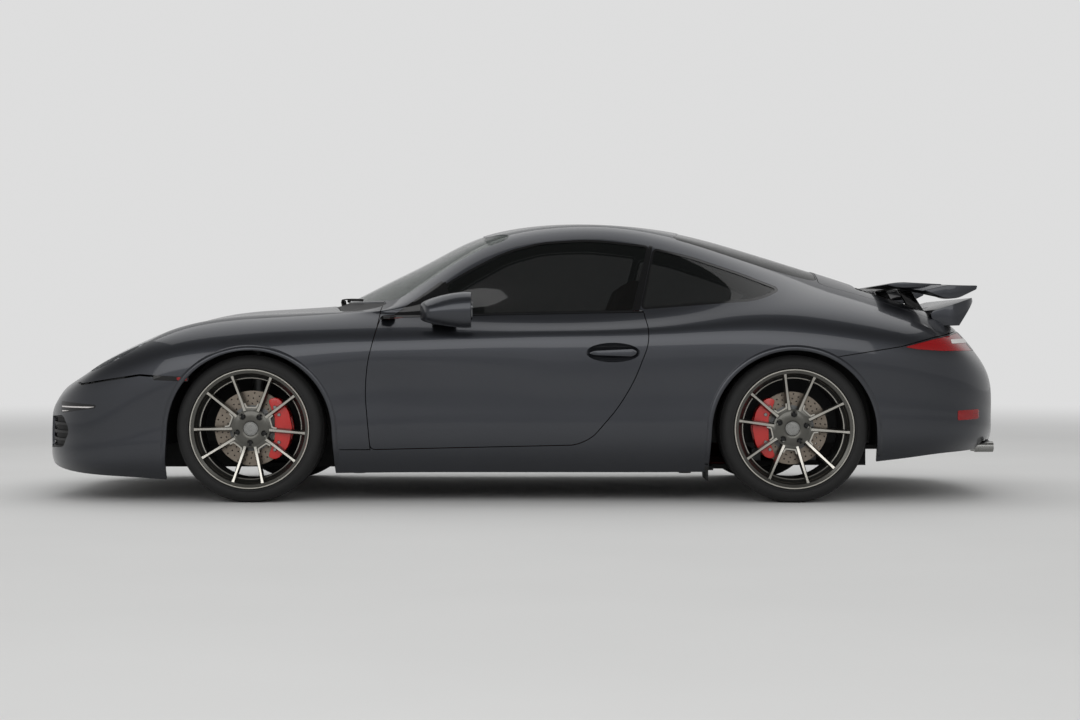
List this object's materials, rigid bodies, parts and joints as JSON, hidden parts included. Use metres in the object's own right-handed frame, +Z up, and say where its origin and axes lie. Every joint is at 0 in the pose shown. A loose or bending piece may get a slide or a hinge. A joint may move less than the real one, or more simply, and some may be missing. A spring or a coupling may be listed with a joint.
{
  "type": "coupe car",
  "caption": "Low rear-engined two-door coupe with opening doors and lids, steered front wheels, spinning wheels, a raised rear spoiler blade and a furnished cabin.",
  "frame": {"origin": "centre of the overall box on the floor, under the middle of the car", "axes": "+X towards the nose, +Y to the car's left side, +Z up"},
  "size_m": [4.491, 1.97, 1.301],
  "materials": {
    "paint": "metallic grey clear coat",
    "glass": "light green tint",
    "glass_side": "dark tint",
    "lamp_clear": "clear cover",
    "lamp_red": "red cover",
    "tyre": "matt",
    "rim": "dark grey metallic",
    "disc": "machined and drilled",
    "caliper": "gloss red",
    "black_trim": "matt black",
    "chassis": "satin black",
    "suspension": "cast",
    "engine": "cast, mostly covered",
    "steel": "satin",
    "leather_red": "red leather",
    "leather_dark": "black leather"
  },
  "bodies": {
    "body": {"floor_pan": "chassis", "body_side_left": "paint", "body_side_right": "paint", "front_fender_left": "paint", "front_fender_right": "paint", "front_bumper": "paint", "rear_bumper": "paint", "roof_panel": "paint", "cowl_panel": "black_trim", "windscreen": "glass", "rear_windows": "glass_side", "headlamps": "lamp_clear", "tail_lamps": "lamp_red", "intake_grilles": "black_trim", "arch_liners": "black_trim", "front_suspension": "suspension", "rear_suspension": "suspension", "calipers_rear": "caliper", "engine_block": "engine", "exhaust": "steel", "seats": "leather_red", "dashboard": "leather_red"},
    "luggage_lid": {"luggage_lid": "paint"},
    "engine_lid": {"engine_lid": "paint", "engine_grille": "black_trim", "rear_wing": "paint"},
    "steering_wheel": {"steering_wheel": "leather_dark"},
    "door_left": {"door_left": "paint", "door_glass_left": "glass_side", "door_fittings_left": "paint"},
    "knuckle_left": {"front_knuckle_left": "suspension", "caliper_front_left": "caliper"},
    "wheel_front_left": {"tyre_front_left": "tyre", "rim_front_left": "rim", "brake_disc_front_left": "disc"},
    "wheel_rear_left": {"tyre_rear_left": "tyre", "rim_rear_left": "rim", "brake_disc_rear_left": "disc"},
    "door_right": {"door_right": "paint", "door_glass_right": "glass_side", "door_fittings_right": "paint"},
    "knuckle_right": {"front_knuckle_right": "suspension", "caliper_front_right": "caliper"},
    "wheel_front_right": {"tyre_front_right": "tyre", "rim_front_right": "rim", "brake_disc_front_right": "disc"},
    "wheel_rear_right": {"tyre_rear_right": "tyre", "rim_rear_right": "rim", "brake_disc_rear_right": "disc"}
  },
  "joints": [
    {"name": "door_left_hinge", "type": "hinge", "parent": "body", "child": "door_left", "pos_m": [0.59, 0.877, 0.52], "axis": [0, 0, -1], "range_deg": [0, 62]},
    {"name": "door_right_hinge", "type": "hinge", "parent": "body", "child": "door_right", "pos_m": [0.59, -0.877, 0.52], "axis": [0, 0, 1], "range_deg": [0, 62]},
    {"name": "luggage_lid_hinge", "type": "hinge", "parent": "body", "child": "luggage_lid", "pos_m": [0.84, 0, 0.895], "axis": [0, -1, 0], "range_deg": [0, 60]},
    {"name": "engine_lid_hinge", "type": "hinge", "parent": "body", "child": "engine_lid", "pos_m": [-1.385, 0, 1.068], "axis": [0, 1, 0], "range_deg": [0, 60]},
    {"name": "steer_left", "type": "hinge", "parent": "body", "child": "knuckle_left", "pos_m": [1.225, 0.699, 0.332], "axis": [0, 0, 1], "range_deg": [-32, 32]},
    {"name": "steer_right", "type": "hinge", "parent": "body", "child": "knuckle_right", "pos_m": [1.225, -0.699, 0.332], "axis": [0, 0, 1], "range_deg": [-32, 32]},
    {"name": "wheel_front_left_spin", "type": "hinge", "parent": "knuckle_left", "child": "wheel_front_left", "pos_m": [1.225, 0.769, 0.332], "axis": [0, 1, 0], "continuous": true},
    {"name": "wheel_front_right_spin", "type": "hinge", "parent": "knuckle_right", "child": "wheel_front_right", "pos_m": [1.225, -0.769, 0.332], "axis": [0, 1, 0], "continuous": true},
    {"name": "wheel_rear_left_spin", "type": "hinge", "parent": "body", "child": "wheel_rear_left", "pos_m": [-1.225, 0.756, 0.332], "axis": [0, 1, 0], "continuous": true},
    {"name": "wheel_rear_right_spin", "type": "hinge", "parent": "body", "child": "wheel_rear_right", "pos_m": [-1.225, -0.756, 0.332], "axis": [0, 1, 0], "continuous": true},
    {"name": "steering_wheel_spin", "type": "hinge", "parent": "body", "child": "steering_wheel", "pos_m": [0.235, 0.365, 0.77], "axis": [0.9135, 0, -0.4067], "range_deg": [-485, 485]}
  ],
  "couplings": [
    {"joint": "steer_right", "follows": "steer_left", "ratio": 1},
    {"joint": "steering_wheel_spin", "follows": "steer_left", "ratio": -15}
  ]
}
